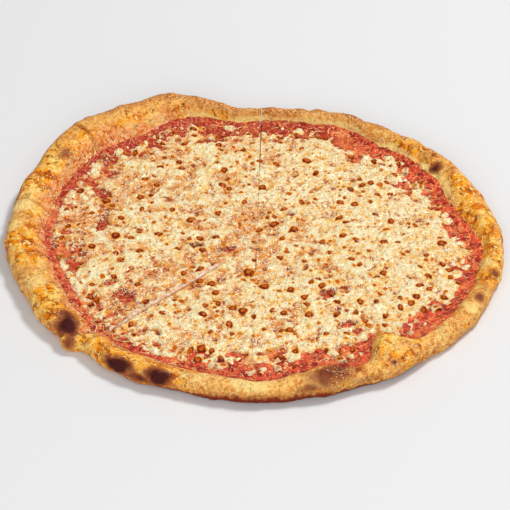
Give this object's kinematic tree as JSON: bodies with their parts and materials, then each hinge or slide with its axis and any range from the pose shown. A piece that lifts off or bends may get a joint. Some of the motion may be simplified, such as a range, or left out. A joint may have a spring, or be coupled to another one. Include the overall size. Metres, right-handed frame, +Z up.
{
  "type": "whole margherita pizza cut into slices",
  "caption": "Round hand-stretched pizza with an uneven puffed rim, tomato sauce and melted browned cheese, wheel-cut into slices that still lie together.",
  "frame": {"origin": "middle of the underside's bounding box, on the surface that the pizza lies on", "axes": "+Z up out of the cheese, +X along the longest way across the pizza, +Y away from the side with the folded-in rim"},
  "size_m": [0.3408, 0.3134, 0.021],
  "materials": {
    "crust": "baked dough, matt, toasted and charred in places, pale and floury in others",
    "sauce": "cooked tomato sauce, moist, satin to glossy",
    "cheese": "melted shredded mozzarella, oily satin, with small browned blisters"
  },
  "bodies": {
    "root": {"slice_1_crust": "crust", "slice_2_crust": "crust", "slice_3_crust": "crust", "slice_4_crust": "crust", "slice_5_crust": "crust", "slice_6_crust": "crust", "slice_7_crust": "crust", "slice_8_crust": "crust", "slice_1_sauce": "sauce", "slice_2_sauce": "sauce", "slice_3_sauce": "sauce", "slice_4_sauce": "sauce", "slice_5_sauce": "sauce", "slice_6_sauce": "sauce", "slice_7_sauce": "sauce", "slice_8_sauce": "sauce", "slice_1_cheese": "cheese", "slice_2_cheese": "cheese", "slice_3_cheese": "cheese", "slice_4_cheese": "cheese", "slice_5_cheese": "cheese", "slice_6_cheese": "cheese", "slice_7_cheese": "cheese", "slice_8_cheese": "cheese"}
  },
  "joints": []
}
